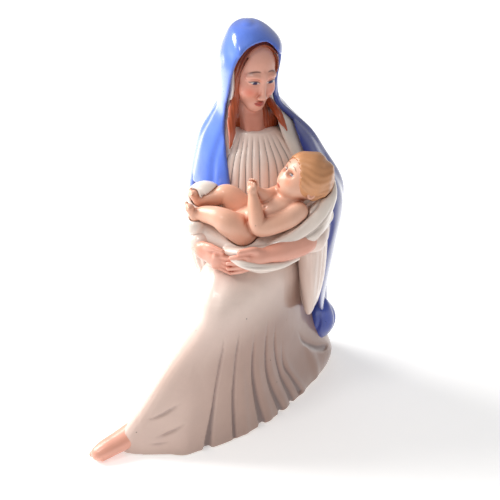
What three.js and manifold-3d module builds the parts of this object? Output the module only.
// A glazed ceramic Madonna seated with a child across her lap.
// Millimetres, +Z up, +X to the viewer's right, -Y towards the viewer.
// The figure is built as a pottery builds it: hollow slip-cast sections that butt together at luted seams,
// and a child cast apart that lies loose in the swaddling cloth.
import * as THREE from "three";
import { mergeVertices } from "three/addons/utils/BufferGeometryUtils.js";
import Module from "manifold-3d";

const wasm = await Module();
wasm.setup();

// ---- Driving dimensions ----
const WALL = 4.5; // slip-cast wall
const FOOT_RIM = 11; // width of the unglazed rim that the statue stands on
const FOOT_RIM_HEIGHT = 6;
const SEAM = 0.3; // gap at a luted seam
const CHILD_CLEARANCE = 0.9; // the loose child lies this far off the cloth
const MANTLE_THICKNESS = 3.2;
const LINING_THICKNESS = 3.6;
const HAIR_THICKNESS = 1.2;

const LAP_HEIGHT = 112; // floor to the top of the lap
const TORSO_LENGTH = 61; // lap to the pit of the neck
const NECK_LENGTH = 14; // pit of the neck to the chin
const HEAD_HEIGHT = 40; // chin to crown
const HEAD_WIDTH = 25;
const HEAD_DEPTH = 33;
const HOOD_RISE = 5; // crown to the top of the hood
const SHIN_REACH = 76; // how far the extended foot goes out to the viewer's left
const TRAIN_REACH = 53; // how far the skirt spreads to the viewer's right
const SHOULDER_BREADTH = 52;
const ARM_RADIUS = 7;
const HAND_WIDTH = 7;
const HAND_LENGTH = 19;
const FINGER_RADIUS = 1.9;
const CHILD_HEAD = 27.5; // the child's head, front to back
const CHILD_LENGTH = 27; // the child's trunk, hip to neck
const CHILD_LIMB_RADIUS = 5.4;

// ---- Landmarks worked out from them ----
const neckPitZ = LAP_HEIGHT + TORSO_LENGTH;
const chinZ = neckPitZ + NECK_LENGTH;
const crownZ = chinZ + HEAD_HEIGHT;
const hoodTop = crownZ + HOOD_RISE;
const shoulderZ = neckPitZ - 9;
const elbowZ = LAP_HEIGHT + 12;
const FAR = 400;

const v = (x, y, z) => new THREE.Vector3(x, y, z);
const way = (x, y, z) => v(x, y, z).normalize();
const turned = (x, y, z) => new THREE.Euler(...[x, y, z].map(THREE.MathUtils.degToRad), "ZXY");

// ---- From three.js geometry to solids and back ----
function solidOf(geometry) {
  const bare = new THREE.BufferGeometry().setAttribute("position", geometry.getAttribute("position"));
  if (geometry.index) bare.setIndex(geometry.index);
  const merged = mergeVertices(bare, 1e-3);
  return new wasm.Manifold(
    new wasm.Mesh({
      numProp: 3,
      vertProperties: new Float32Array(merged.attributes.position.array),
      triVerts: new Uint32Array(merged.index.array),
    }),
  );
}

function geometryOf(solid) {
  const mesh = solid.getMesh();
  const geometry = new THREE.BufferGeometry()
    .setAttribute("position", new THREE.BufferAttribute(new Float32Array(mesh.vertProperties), 3))
    .setIndex(new THREE.BufferAttribute(new Uint32Array(mesh.triVerts), 1));
  geometry.computeVertexNormals();
  return geometry;
}

const joined = (solids) => solids.reduce((all, solid) => all.add(solid));

// A closed skin over rings of points, with a flat fan on each end.
function skin(rings) {
  const sides = rings[0].length;
  const points = rings.flat();
  const faces = [];
  for (let r = 0; r < rings.length - 1; r++)
    for (let s = 0; s < sides; s++) {
      const a = r * sides + s;
      const b = r * sides + ((s + 1) % sides);
      faces.push(a, b, b + sides, a, b + sides, a + sides);
    }
  const centreOf = (ring) => ring.reduce((sum, p) => sum.add(p), v(0, 0, 0)).divideScalar(ring.length);
  const first = points.push(centreOf(rings[0])) - 1;
  const last = points.push(centreOf(rings.at(-1))) - 1;
  const top = (rings.length - 1) * sides;
  for (let s = 0; s < sides; s++) {
    faces.push(first, (s + 1) % sides, s);
    faces.push(last, top + s, top + ((s + 1) % sides));
  }
  return solidOf(new THREE.BufferGeometry().setFromPoints(points).setIndex(faces));
}

// A smooth loft through level sections. Each level is { z, plan: [[x, y], ...] }, anticlockwise from above.
// grow moves the sides out, and bottomGrow and topGrow move the two flat ends.
function loft(levels, { sides = 18, rings = 6, grow = 0, bottomGrow = grow, topGrow = grow } = {}) {
  const sections = levels.map(({ z, plan }) => {
    const corners = plan.map(([x, y]) => v(x, y, z));
    const curve = new THREE.CatmullRomCurve3(corners, true, "centripetal");
    return Array.from({ length: sides }, (_, s) => {
      const outward = curve.getTangent(s / sides).cross(v(0, 0, 1)).normalize();
      return curve.getPoint(s / sides).addScaledVector(outward, grow);
    });
  });
  const columns = Array.from({ length: sides }, (_, s) => {
    const column = sections.map((ring) => ring[s]);
    return new THREE.CatmullRomCurve3(column, false, "centripetal");
  });
  const ringAt = (t) => columns.map((column) => column.getPoint(t));
  const stack = Array.from({ length: rings + 1 }, (_, r) => ringAt(r / rings));
  for (const p of stack[0]) p.z = levels[0].z - bottomGrow;
  for (const p of stack.at(-1)) p.z = levels.at(-1).z + topGrow;
  return skin(stack);
}

// A rounded section between x and y limits, a little squarer than an ellipse.
function oval(z, [left, right], [front, back]) {
  const SQUARENESS = 2.2;
  const bend = (w) => Math.sign(w) * Math.abs(w) ** (2 / SQUARENESS);
  const plan = Array.from({ length: 16 }, (_, i) => {
    const angle = (i / 16) * 2 * Math.PI;
    return [
      (left + right) / 2 + ((right - left) / 2) * bend(Math.cos(angle)),
      (front + back) / 2 + ((back - front) / 2) * bend(Math.sin(angle)),
    ];
  });
  return { z, plan };
}

// A round-ended limb along [x, y, z, radius] stations; flat squeezes it along the given direction.
function limb(stations, { sides = 8, steps = 5, grow = 0, flat = 1, flatAlong = v(0.05, 0.1, 1) } = {}) {
  const path = new THREE.CatmullRomCurve3(stations.map(([x, y, z]) => v(x, y, z)), false, "centripetal");
  const radii = stations.map(([, , , radius], i) => v(i * 10, radius, 0));
  const widths = new THREE.CatmullRomCurve3(radii, false, "centripetal");
  const cap = (t, radius, sign) =>
    [0.38, 0.71, 0.92].map((share) => {
      const out = sign * (radius + grow) * Math.sqrt(1 - share * share);
      const centre = path.getPoint(t).addScaledVector(path.getTangent(t), out);
      return { centre, t, radius: (radius + grow) * share - grow };
    });
  const middle = Array.from({ length: steps + 1 }, (_, i) => {
    const t = i / steps;
    return { centre: path.getPoint(t), t, radius: widths.getPoint(t).y };
  });
  const stops = [...cap(0, stations[0][3], -1), ...middle, ...cap(1, stations.at(-1)[3], 1).reverse()];
  let up = flatAlong.clone();
  const rings = stops.map(({ centre, t, radius }) => {
    const along = path.getTangent(t);
    const side = new THREE.Vector3().crossVectors(up, along).normalize();
    up = new THREE.Vector3().crossVectors(along, side).normalize();
    return Array.from({ length: sides }, (_, s) => {
      const angle = (s / sides) * 2 * Math.PI;
      return centre
        .clone()
        .addScaledVector(side, (radius + grow) * Math.cos(angle))
        .addScaledVector(up, (radius * flat + grow) * Math.sin(angle));
    });
  });
  return skin(rings);
}

// An ellipsoid, turned if asked.
function egg(centre, [rx, ry, rz], { turn = new THREE.Euler(), grow = 0, detail = 10 } = {}) {
  const geometry = new THREE.SphereGeometry(1, detail, Math.round(detail * 0.7));
  geometry.scale(rx + grow, ry + grow, rz + grow);
  geometry.applyMatrix4(new THREE.Matrix4().makeRotationFromEuler(turn));
  geometry.translate(centre.x, centre.y, centre.z);
  return solidOf(geometry);
}

// A prism that runs along Y up to a back plane, from an outline in X and Z.
function frontPrism(outline, back) {
  const curve = new THREE.CatmullRomCurve3(outline.map(([x, z]) => v(x, z, 0)), true, "centripetal");
  const points = curve.getPoints(outline.length * 3).slice(0, -1);
  const shape = new THREE.Shape(points.map((p) => new THREE.Vector2(p.x, p.y)));
  const geometry = new THREE.ExtrudeGeometry(shape, { depth: back + FAR, bevelEnabled: false });
  geometry.rotateX(Math.PI / 2);
  geometry.translate(0, back, 0);
  return solidOf(geometry);
}

// The layer of space between two heights.
function slab(bottom, top) {
  const geometry = new THREE.BoxGeometry(FAR, FAR, top - bottom);
  geometry.translate(0, 0, (bottom + top) / 2);
  return solidOf(geometry);
}

// ---- The gown ----
// Each level: height, then plan corners anticlockwise: the foot, the front, the train, the back and the left.
const foot = -SHIN_REACH;
const train = TRAIN_REACH;
const skirtSections = [
  [0, foot, -29, foot + 26, -36, -20, -29, 13, -3, 38, 33, train - 1, 66, 38, 90, 2, 92, -30, 66, -49, 20],
  [12, foot + 2, -31, foot + 27, -37, -20, -29, 12, -5, 37, 30, train, 62, 38, 88, 2, 90, -29, 63, -48, 16],
  [32, foot + 15, -31, foot + 33, -38, -19, -30, 9, -9, 30, 22, 42, 52, 35, 80, 3, 84, -25, 57, -43, 8],
  [56, foot + 29, -30, foot + 42, -38, -16, -32, 7, -14, 26, 13, 37, 43, 32, 72, 4, 78, -22, 52, -37, 4],
  [82, foot + 45, -28, foot + 55, -36, -8, -32, 8, -18, 24, 7, 34, 38, 30, 67, 4, 74, -21, 50, -32, 4],
  [LAP_HEIGHT - 14, -26, -24, -18, -31, -7, -29, 8, -17, 24, 7, 32, 37, 28, 64, 4, 71, -20, 49, -28, 8],
  [LAP_HEIGHT - 3, -21, -14, -14, -19, -5, -18, 8, -10, 20, 9, 28, 36, 25, 60, 4, 67, -18, 48, -23, 14],
  [LAP_HEIGHT + 2, -15, 2, -10, -4, -3, -5, 7, 0, 16, 14, 23, 36, 20, 56, 4, 62, -14, 46, -18, 20],
];
const cornersOf = (numbers) =>
  Array.from({ length: numbers.length / 2 }, (_, i) => numbers.slice(2 * i, 2 * i + 2));
const skirtLevels = skirtSections.map(([z, ...numbers]) => ({ z, plan: cornersOf(numbers) }));
const skirtOuter = (grow) => loft(skirtLevels, { sides: 28, rings: 11, grow });
const skirtInner = () => loft(skirtLevels, { rings: 7, grow: -WALL });

const bodiceBase = LAP_HEIGHT - 8;
const halfShoulders = SHOULDER_BREADTH / 2;
const bodiceLevels = [
  oval(bodiceBase, [-19, 26], [10, 60]),
  oval(LAP_HEIGHT + 14, [-20, 26], [12, 60]),
  oval(shoulderZ - 22, [-22, 29], [14, 60]),
  oval(shoulderZ - 6, [2 - halfShoulders, 4 + halfShoulders], [19, 60]),
  oval(shoulderZ + 3, [-17, 23], [25, 54]),
  oval(neckPitZ + 1, [-9, 13], [28, 48]),
];
const bodiceOuter = (grow, bottomGrow = grow) => loft(bodiceLevels, { grow, bottomGrow });

// The hollow that the drained slip leaves, open at the floor inside the foot rim.
function castHollow() {
  const plan = skirtLevels[0].plan;
  const mouthLevels = [{ z: -2, plan }, { z: FOOT_RIM_HEIGHT + 1, plan }];
  const mouth = loft(mouthLevels, { rings: 1, grow: -FOOT_RIM, bottomGrow: 0, topGrow: 0 });
  const inSkirt = skirtInner().intersect(slab(FOOT_RIM_HEIGHT, FAR));
  const inBodice = bodiceOuter(-WALL, WALL).intersect(slab(bodiceBase - WALL, shoulderZ - 2));
  return joined([mouth, inSkirt, inBodice]);
}

// ---- The head ----
// Head pieces are shaped about the head's centre, facing -Y, then turned towards the child and placed.
const headTurn = turned(11, 4, 27);
const headCentre = v(0.5, 38, chinZ + HEAD_HEIGHT * 0.48);
const headFrame = new THREE.Matrix4().makeRotationFromEuler(headTurn).setPosition(headCentre);
const onHead = (x, y, z) => v(x, y, z).applyMatrix4(headFrame);
const halfWidth = HEAD_WIDTH / 2;
const halfDepth = HEAD_DEPTH / 2;
const headParts = {
  cranium: { centre: [0, 2, HEAD_HEIGHT * 0.13], radii: [halfWidth, halfDepth, HEAD_HEIGHT * 0.37] },
  face: {
    centre: [0, -halfDepth * 0.38, -HEAD_HEIGHT * 0.15],
    radii: [halfWidth * 0.84, halfDepth * 0.6, HEAD_HEIGHT * 0.34],
  },
  chin: { centre: [0, -halfDepth * 0.72, -HEAD_HEIGHT * 0.4], radii: [4.2, 3.8, 3.4] },
  nose: { centre: [0, -halfDepth * 0.98, -HEAD_HEIGHT * 0.1], radii: [1.8, 2.6, 4.4] },
  faceOpening: {
    centre: [0, -halfDepth * 0.92, -HEAD_HEIGHT * 0.06],
    radii: [halfWidth * 0.96, 14.5, HEAD_HEIGHT * 0.48],
  },
};
const headEgg = (part, grow, detail) =>
  egg(onHead(...headParts[part].centre), headParts[part].radii, { turn: headTurn, grow, detail });

const headAndNeck = (grow) =>
  joined([
    headEgg("cranium", grow, 14),
    headEgg("face", grow, 12),
    headEgg("chin", grow, 7),
    headEgg("nose", grow, 7),
    limb(
      [[...onHead(0, 3, -HEAD_HEIGHT * 0.28), 8.2], [2, 38, neckPitZ - 2, 8.6], [2, 41, neckPitZ - 10, 10]],
      { grow, sides: 10, steps: 2 },
    ),
  ]);

const hairCap = (grow) =>
  headEgg("cranium", HAIR_THICKNESS + grow, 14).subtract(headEgg("faceOpening", -grow, 14));
const backHair = (grow) =>
  limb(
    [[...onHead(0, 6, 2), 10.5], [...onHead(0, 8, -14), 12], [1, 50, neckPitZ + 2, 14]],
    { grow, sides: 10, steps: 3 },
  );
const leftLock = [
  [...onHead(-11.4, -4, 6), 2.2],
  [...onHead(-10.8, -5.5, -12), 2.6],
  [-9, 25, neckPitZ + 11, 2.6],
  [-10, 22.5, neckPitZ, 1.4],
];
const rightLock = [
  [...onHead(11, -4, 4), 2.2],
  [...onHead(10.4, -4, -11), 2.6],
  [15.5, 26, neckPitZ + 16, 2.4],
  [20, 25.5, neckPitZ + 9, 1.2],
];
const hair = (grow) =>
  joined([hairCap(grow), backHair(grow), limb(leftLock, { grow }), limb(rightLock, { grow })]);

// ---- The mantle and its lining ----
const domeBase = chinZ + 20;
// Each level of the mantle: height, then its limits left, right, front and back.
const mantleSections = [
  [0, -34, 44, 14, 104],
  [14, -34, 46, 12, 103],
  [32, -33, 47, 10, 99],
  [47, -31, 47, 10, 94],
  [66, -30, 47, 9, 90],
  [LAP_HEIGHT - 12, -34, 52, 6, 88],
  [elbowZ - 2, -36, 55, 4, 88],
  [elbowZ + 12, -35, 53, 8, 87],
  [shoulderZ - 11, -32, 43, 14, 85],
  [shoulderZ + 2, -28.5, 35, 18, 82],
  [neckPitZ + 4, -22.5, 24, 20, 79],
  [chinZ - 2, -18.5, 17, 19, 77],
  [chinZ + 10, -17.5, 15.5, 17, 75],
  [chinZ + 24, -17.5, 17.5, 16, 72],
  [crownZ - 6, -15, 16.8, 19, 66],
  [hoodTop - 2, -10, 8, 27, 57],
  [hoodTop, -5, 2, 34, 50],
];
// The mantle's outer form, moved out or in by grow; the dome of the hood also moves up or down.
function mantleForm(grow, bottomGrow = 0) {
  const levels = mantleSections.map(([z, left, right, front, back]) => {
    const rise = THREE.MathUtils.smoothstep(z, domeBase, hoodTop);
    const outX = Math.max(grow, 1 - (right - left) / 2);
    const outY = Math.max(grow, 1 - (back - front) / 2);
    return oval(z + grow * rise, [left - outX, right + outX], [front - outY, back + outY]);
  });
  return loft(levels, { sides: 22, rings: 17, bottomGrow, topGrow: 0 });
}

// Where the mantle parts in front, in X and Z: up the left edge, over the brow, down the right edge.
const mantleEdge = [
  [-40, 60], [-33, 100], [-35, 118], [-36, 131], [-29, 139], [-17, 138], [-10.5, 142],
  [-13, 165], [-13.5, 182], [-10, 198], [-6, 209], [-1, 216], [6, 219], [14, 219.5], [21, 218],
  [21, 208], [14.5, 195], [18, 185], [25, 173], [33, 157], [44, 140], [49, 122],
  [47, 106], [45, 84], [43, 66], [45, 50], [50, 36], [62, 26], [62, -20], [-80, -20],
];
const liningEdge = [
  [-34, 96], [-33, 131], [-24, 137], [-14, 138], [-8.5, 146],
  [-10.5, 168], [-11.5, 184], [-8.5, 198], [-5, 207], [0, 213.5], [6, 216.5], [14, 217.5], [19, 216],
  [19, 206], [13, 195], [14, 184], [18, 170], [23, 156], [27, 140], [30, 96],
];
const hoodMiddle = 45;
const mantle = () =>
  mantleForm(0).subtract(mantleForm(-MANTLE_THICKNESS, 2)).subtract(frontPrism(mantleEdge, hoodMiddle));

const liningBase = LAP_HEIGHT - 6;
const lining = (grow) =>
  mantleForm(grow - MANTLE_THICKNESS - 2 * SEAM)
    .intersect(slab(liningBase - grow, FAR))
    .subtract(mantleForm(-MANTLE_THICKNESS - LINING_THICKNESS))
    .subtract(frontPrism(liningEdge, hoodMiddle - 4));

// The gathered end of the mantle, rolled over the train of the skirt.
const mantleTail = (grow) =>
  limb([[44, 52, 47, 4.5], [47, 56, 37, 8.6], [45, 57, 29, 8]], { grow, sides: 10, steps: 4 });

// ---- Sleeves, arms and hands ----
const rightSleeve = (grow) =>
  joined([
    limb(
      [
        [-16, 44, shoulderZ - 6, 8],
        [-20, 31, elbowZ + 10, 8.5],
        [-25, 13, elbowZ + 1, 8.5],
        [-26.5, 1, elbowZ - 1, 8],
      ],
      { grow, sides: 10 },
    ),
    limb(
      [[-26, 14, elbowZ, 9], [-25, 9, elbowZ - 16, 7.5], [-22, 6, elbowZ - 33, 4.5]],
      { grow, sides: 10, steps: 4, flat: 0.8 },
    ),
  ]);

const leftDrape = [
  oval(62, [33, 42], [14, 28]),
  oval(70, [30, 43], [10, 32]),
  oval(90, [28, 44.5], [6, 34]),
  oval(108, [27, 45], [2, 34]),
  oval(elbowZ - 1, [30, 44], [4, 30]),
];
const leftSleeve = (grow) =>
  joined([
    limb([[24, 46, shoulderZ - 6, 9], [36, 30, elbowZ + 10, 10.5], [38, 13, elbowZ, 10]], { grow, sides: 10 }),
    loft(leftDrape, { sides: 14, rings: 5, grow }),
  ]);

// A hand is a palm with four fingers and a thumb; the fingers fan out from the knuckles and curl.
function hand({ palm, knuckles, along, across, outward, curl, grow }) {
  const at = (from, moves) =>
    moves.reduce((p, [direction, size]) => p.addScaledVector(direction, size), from.clone());
  const palmStations = [[...palm, HAND_WIDTH * 0.62], [...knuckles, HAND_WIDTH * 0.72]];
  const solids = [limb(palmStations, { grow, steps: 1, flat: 0.62, flatAlong: outward })];
  [0.86, 1, 0.95, 0.76].forEach((share, i) => {
    const offset = (i - 1.5) / 3;
    const root = at(knuckles, [[across, offset * HAND_WIDTH * 1.15]]);
    const reach = along.clone().addScaledVector(across, offset * 0.25).normalize();
    const length = HAND_LENGTH * 0.52 * share;
    const middle = at(root, [[reach, length * 0.55], [outward, -curl * 0.3]]);
    const tip = at(root, [[reach, length], [outward, -curl]]);
    const radii = [FINGER_RADIUS, FINGER_RADIUS * 0.95, FINGER_RADIUS * 0.72];
    solids.push(limb([root, middle, tip].map((p, k) => [...p, radii[k]]), { grow, sides: 5, steps: 2 }));
  });
  const thumbRoot = at(palm, [[across, HAND_WIDTH * 0.45]]);
  const thumbTip = at(knuckles, [[across, HAND_WIDTH * 0.95], [outward, 0.5]]);
  const thumb = [[...thumbRoot, FINGER_RADIUS * 1.15], [...thumbTip, FINGER_RADIUS * 0.85]];
  solids.push(limb(thumb, { grow, sides: 5, steps: 1 }));
  return solids;
}

const leftForearm = [
  [37, 0, elbowZ + 3, ARM_RADIUS * 0.9],
  [29, -9, elbowZ + 1, ARM_RADIUS],
  [19, -16, elbowZ - 0.5, ARM_RADIUS * 0.85],
  [9, -20, elbowZ - 1.5, ARM_RADIUS * 0.62],
];
const leftForearmAndHand = (grow) =>
  joined([
    limb(leftForearm, { grow, sides: 10, steps: 5 }),
    ...hand({
      palm: v(6, -21.5, elbowZ - 2),
      knuckles: v(-1, -23.5, elbowZ - 3.5),
      along: way(-0.96, -0.1, -0.25),
      across: way(-0.2, -0.15, 0.97),
      outward: way(0, -1, -0.1),
      curl: 0.5,
      grow,
    }),
  ]);
const rightHand = (grow) =>
  joined([
    limb([[-29, 2, elbowZ - 2, 5.6], [-26, -9, elbowZ - 3, 4.8]], { grow, steps: 3 }),
    ...hand({
      palm: v(-25, -12, elbowZ - 3),
      knuckles: v(-18.5, -18, elbowZ - 5.5),
      along: way(0.93, -0.3, -0.2),
      across: way(0.12, -0.25, 0.96),
      outward: way(-0.28, -0.93, -0.2),
      curl: -0.5,
      grow,
    }),
  ]);

// ---- The swaddling cloth: a hammock under the child, bunched behind its head and under its feet ----
const hammock = [
  [-25, 0, elbowZ + 5, 6.5],
  [-18, -2, elbowZ + 1, 9.5],
  [-2, -6, elbowZ - 2, 11],
  [16, -7, elbowZ, 11],
  [30, -2, elbowZ + 6, 10],
  [38, 4, elbowZ + 11, 8],
];
const cloth = (grow) =>
  joined([
    limb(hammock, { grow, sides: 12, steps: 7, flat: 0.62, flatAlong: way(0, -0.35, 1) }),
    limb([[37, 0, elbowZ + 8, 6], [41, 8, elbowZ + 18, 6.5], [40.5, 18, elbowZ + 26, 6]], { grow, sides: 10 }),
    limb([[-29, 4, elbowZ + 7, 5], [-26, 16, elbowZ + 10, 6]], { grow, steps: 3 }),
  ]);

// ---- The child, on its back with its head to the viewer's right ----
const childHip = v(-2, -3, elbowZ + 8);
const childNeck = childHip.clone().addScaledVector(way(0.9, 0.12, 0.42), CHILD_LENGTH);
const childSpine = (share) => childHip.clone().lerp(childNeck, share);
const childHeadCentre = v(childNeck.x + 7.5, 4.5, childNeck.z + 13);
const childHeadTurn = turned(0, -38, 8);
const childSkull = [CHILD_HEAD / 2, CHILD_HEAD * 0.44, CHILD_HEAD * 0.475];
const limbR = CHILD_LIMB_RADIUS;

const childBody = (grow) =>
  joined([
    limb(
      [[...childHip, 9], [...childSpine(0.45), 9], [...childSpine(0.82), 8.6], [...childNeck, 5.6]],
      { grow, sides: 10, steps: 4, flat: 0.92 },
    ),
    limb([[...childNeck, 5.4], [...childHeadCentre, 6]], { grow, steps: 3 }),
  ]);
const childHead = (grow) => egg(childHeadCentre, childSkull, { turn: childHeadTurn, grow, detail: 12 });
const childHair = (grow) => {
  const cap = childHeadCentre.clone().add(v(1, 0.2, 0.4));
  const faceSide = childHeadCentre.clone().add(v(-13.5, -1, 2));
  const radii = childSkull.map((radius, i) => radius + [0.4, 1.3, 0.9][i]);
  return egg(cap, radii, { turn: childHeadTurn, grow, detail: 12 }).subtract(
    egg(faceSide, [12, 15, 13], { turn: childHeadTurn, grow: -grow, detail: 12 }),
  );
};
const childNearArm = (grow) =>
  limb(
    [
      [26, -6.5, elbowZ + 18, limbR * 1.06],
      [16, -12, elbowZ + 14, limbR],
      [5.5, -13.5, elbowZ + 11.5, limbR * 0.92],
      [2.8, -12, elbowZ + 20, limbR * 0.82],
      [1.8, -9.5, elbowZ + 28, limbR * 0.6],
      [1.2, -8.6, elbowZ + 31.5, limbR * 0.56],
    ],
    { grow, steps: 8 },
  );
const childFarArm = (grow) =>
  limb(
    [
      [19, 8, elbowZ + 23, limbR * 0.95],
      [11, 3, elbowZ + 22.5, limbR * 0.85],
      [4.5, -2.5, elbowZ + 28, limbR * 0.66],
      [2.2, -4.6, elbowZ + 31.8, limbR * 0.54],
    ],
    { grow },
  );
const childNearLeg = (grow) =>
  limb(
    [
      [-4, -8, elbowZ + 7, limbR * 1.55],
      [-11, -10, elbowZ + 12.5, limbR * 1.35],
      [-16, -9, elbowZ + 15, limbR * 1.15],
      [-22.5, -4.5, elbowZ + 15, limbR * 0.92],
      [-27.5, -2, elbowZ + 14.5, limbR * 0.72],
      [-30, -2.5, elbowZ + 16, limbR * 0.62],
    ],
    { grow, steps: 7 },
  );
const childFarLeg = (grow) =>
  limb(
    [
      [-2, 6, elbowZ + 10, limbR * 1.5],
      [-9, 8, elbowZ + 18, limbR * 1.3],
      [-13, 8.5, elbowZ + 21, limbR * 1.1],
      [-20.5, 8, elbowZ + 19.5, limbR * 0.88],
      [-26, 7, elbowZ + 18.5, limbR * 0.7],
      [-29, 5.5, elbowZ + 19.5, limbR * 0.6],
    ],
    { grow, steps: 8 },
  );

// ---- Her bare foot, out from under the hem ----
const instep = [
  [foot + 9, -28, 11, 6],
  [foot + 1, -33, 7.5, 5.6],
  [foot - 7, -38, 5, 5.2],
  [foot - 11.5, -40.5, 4, 3.9],
];
const bareFoot = (grow) => {
  const toes = [0, 1, 2, 3, 4].map((toe) => {
    const centre = v(foot - 14.5 + toe * 1.75, -38.2 - toe * 1.15 + Math.abs(toe - 1) * 0.2, 3);
    return egg(centre, [2.3, 1.9, toe === 0 ? 2.6 : 2], { grow, detail: 6 });
  });
  const sole = limb(instep, { grow, sides: 10, steps: 4, flat: 0.85 });
  return joined([sole, ...toes]).intersect(slab(SEAM - grow, FAR));
};

// ---- The pieces, in the order in which they keep their shape where two would meet ----
const looks = {
  skin: { color: 0xe8b79a, roughness: 0.22 },
  gown: { color: 0xece2dc, roughness: 0.15 },
  blue: { color: 0x5f79d6, roughness: 0.12 },
  copper: { color: 0x8f3a16, roughness: 0.25 },
  blond: { color: 0xd9a763, roughness: 0.3 },
};
const pieces = [
  { name: "child_head", form: childHead, look: "skin", child: true },
  { name: "child_hair", form: childHair, look: "blond", child: true },
  { name: "child_near_arm", form: childNearArm, look: "skin", child: true },
  { name: "child_far_arm", form: childFarArm, look: "skin", child: true },
  { name: "child_near_leg", form: childNearLeg, look: "skin", child: true },
  { name: "child_far_leg", form: childFarLeg, look: "skin", child: true },
  { name: "child_body", form: childBody, look: "skin", child: true },
  { name: "head_and_neck", form: headAndNeck, look: "skin" },
  { name: "hair", form: hair, look: "copper" },
  { name: "left_forearm_and_hand", form: leftForearmAndHand, look: "skin" },
  { name: "right_hand", form: rightHand, look: "skin" },
  { name: "swaddling_cloth", form: cloth, look: "gown" },
  { name: "bare_foot", form: bareFoot, look: "skin" },
  { name: "left_sleeve", form: leftSleeve, look: "gown" },
  { name: "right_sleeve", form: rightSleeve, look: "gown" },
  { name: "bodice", form: bodiceOuter, hollow: castHollow, look: "gown" },
  { name: "skirt", form: skirtOuter, hollow: castHollow, look: "gown" },
  { name: "mantle_tail", form: mantleTail, look: "blue" },
  { name: "veil_lining", form: lining, look: "gown" },
  { name: "mantle", form: mantle, look: "blue" },
];

const biggest = (solid) => solid.decompose().reduce((a, b) => (b.volume() > a.volume() ? b : a));
const apart = (a, b) => [0, 1, 2].some((k) => a.min[k] > b.max[k] || b.min[k] > a.max[k]);

const statue = new THREE.Group();
const kept = [];
for (const piece of pieces) {
  let solid = piece.form(0);
  if (piece.hollow) solid = solid.subtract(piece.hollow());
  for (const other of kept) {
    const gap = other.child && !piece.child ? CHILD_CLEARANCE : SEAM;
    const cutter = other.form(gap);
    if (!apart(solid.boundingBox(), cutter.boundingBox())) solid = solid.subtract(cutter);
  }
  kept.push(piece);
  const mesh = new THREE.Mesh(geometryOf(biggest(solid)), new THREE.MeshStandardMaterial(looks[piece.look]));
  mesh.name = piece.name;
  statue.add(mesh);
}

// The origin is under the middle of the whole figure, on the floor.
const bounds = new THREE.Box3().setFromObject(statue);
const middle = bounds.getCenter(v(0, 0, 0));
statue.position.set(-middle.x, -middle.y, -bounds.min.z);

export default statue;
